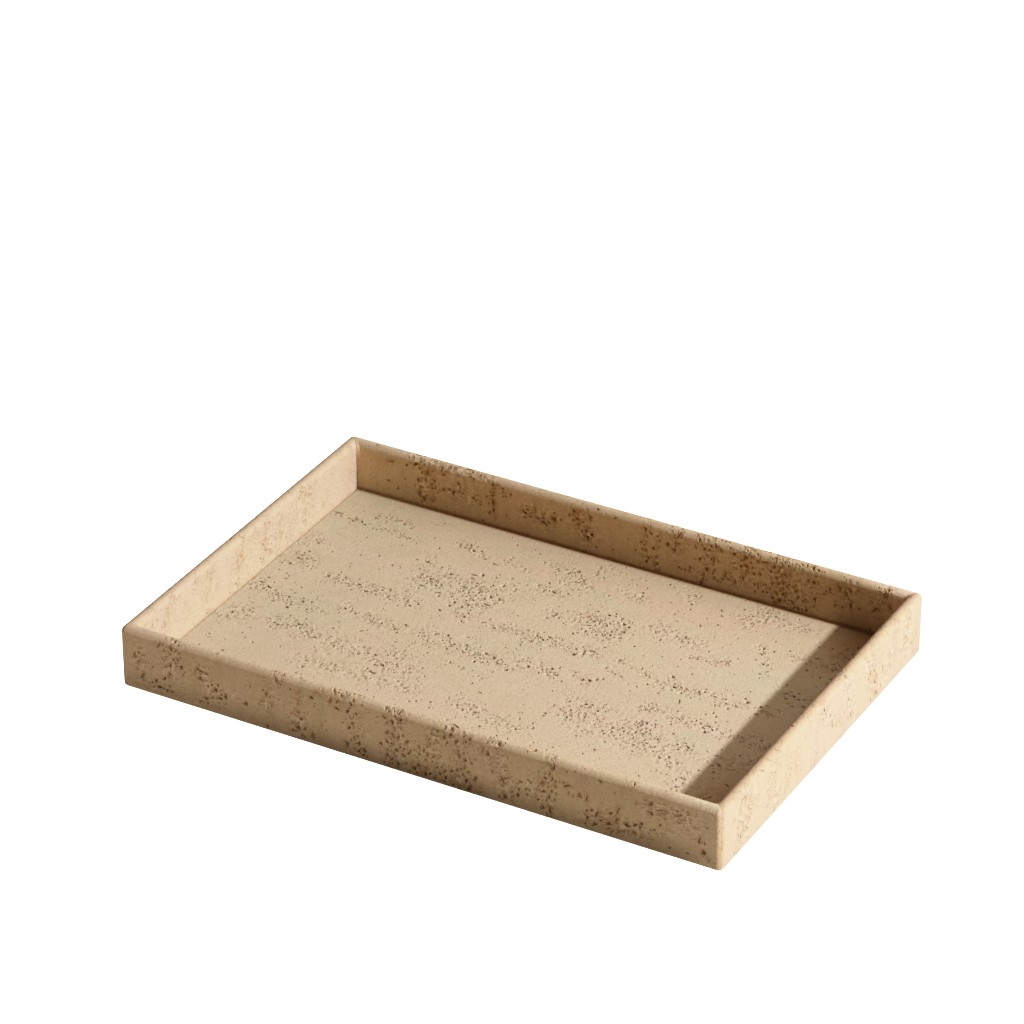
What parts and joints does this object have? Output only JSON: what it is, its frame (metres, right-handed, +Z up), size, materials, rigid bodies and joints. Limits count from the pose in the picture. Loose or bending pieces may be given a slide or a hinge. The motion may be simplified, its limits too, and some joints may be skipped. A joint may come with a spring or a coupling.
{
  "type": "stone vanity tray",
  "caption": "Low rectangular open tray with upright mitred walls, a full-round rim and a flat floor, for keeping toiletries and small things together.",
  "frame": {"origin": "middle of the tray in plan, on the surface that its feet stand on", "axes": "+X along the long side, +Y from the front wall to the back wall, +Z up"},
  "size_m": [0.3, 0.201, 0.0337],
  "materials": {
    "base_stone": "honed, open-pored",
    "wall_stone": "honed, open-pored",
    "seam_glue": "satin",
    "foot_silicone": "satin",
    "foot_tape": "satin"
  },
  "bodies": {
    "root": {"base_slab": "base_stone", "front_wall": "wall_stone", "back_wall": "wall_stone", "left_wall": "wall_stone", "right_wall": "wall_stone", "mitre_glue_front_left": "seam_glue", "mitre_glue_front_right": "seam_glue", "mitre_glue_back_left": "seam_glue", "mitre_glue_back_right": "seam_glue", "base_glue_front": "seam_glue", "base_glue_back": "seam_glue", "base_glue_left": "seam_glue", "base_glue_right": "seam_glue", "foot_front_left": "foot_silicone", "foot_front_right": "foot_silicone", "foot_back_left": "foot_silicone", "foot_back_right": "foot_silicone", "foot_tape_front_left": "foot_tape", "foot_tape_front_right": "foot_tape", "foot_tape_back_left": "foot_tape", "foot_tape_back_right": "foot_tape"}
  },
  "joints": []
}
